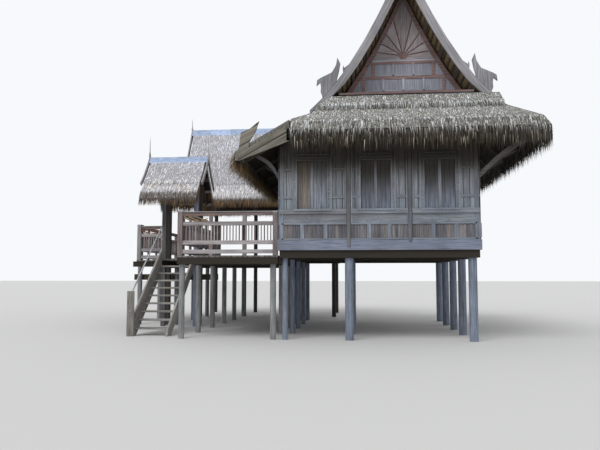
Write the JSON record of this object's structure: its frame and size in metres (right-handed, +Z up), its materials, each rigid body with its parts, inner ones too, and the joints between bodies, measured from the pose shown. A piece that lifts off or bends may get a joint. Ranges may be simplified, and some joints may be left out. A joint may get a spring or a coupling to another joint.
{
  "type": "stilt house",
  "caption": "Timber stilt house with a steep thatched gable roof, panelled walls, a railed terrace, an open stair with a thatched gate and an open rear house.",
  "frame": {"origin": "centre of the foot of the big front post under the left corner of the gabled room, at ground level", "axes": "+Z up, +X to the right of the front, +Y towards the back of the house"},
  "size_m": [11.9, 12.85, 10.5466],
  "materials": {
    "weathered_boards": "weathered blue-grey boards, matt",
    "grey_post_timber": "bare grey hardwood, matt",
    "brown_timber": "faded reddish-brown stain, matt",
    "dark_beam_timber": "dark damp timber with moss, matt",
    "thatch": "dry grass thatch, matt",
    "ridge_sheet": "folded sheet metal, dull blue-grey"
  },
  "bodies": {
    "root": {"house_posts": "grey_post_timber", "house_girders": "dark_beam_timber", "house_joists": "dark_beam_timber", "house_floor": "weathered_boards", "floor_boards": "weathered_boards", "front_wall": "weathered_boards", "back_wall": "weathered_boards", "left_wall": "weathered_boards", "door_head": "weathered_boards", "right_wall": "weathered_boards", "front_framing": "brown_timber", "back_framing": "brown_timber", "side_framing": "brown_timber", "shutters": "weathered_boards", "wall_pilasters": "grey_post_timber", "wall_plates": "dark_beam_timber", "roof_trusses": "dark_beam_timber", "roof_purlins": "dark_beam_timber", "gable_boards": "weathered_boards", "sunbursts": "brown_timber", "bargeboards": "weathered_boards", "bargeboard_ends": "weathered_boards", "left_roof_thatch": "thatch", "right_roof_thatch": "thatch", "upper_skirts": "thatch", "front_skirt": "thatch", "back_skirt": "thatch", "right_skirt": "thatch", "lean_to_thatch": "thatch", "lean_to_verges": "grey_post_timber", "skirt_rafters": "dark_beam_timber", "eave_brackets": "dark_beam_timber", "terrace_posts": "grey_post_timber", "terrace_beams": "dark_beam_timber", "terrace_deck": "weathered_boards", "front_railing": "brown_timber", "side_railing": "brown_timber", "far_railing": "brown_timber", "stair_stringers": "weathered_boards", "stair_treads": "weathered_boards", "stair_rails": "grey_post_timber", "gate_frame": "grey_post_timber", "gate_thatch": "thatch", "rear_frame": "grey_post_timber", "rear_floor": "weathered_boards", "rear_thatch": "thatch", "small_bargeboards": "weathered_boards", "ridge_caps": "ridge_sheet", "finials": "grey_post_timber"}
  },
  "joints": []
}
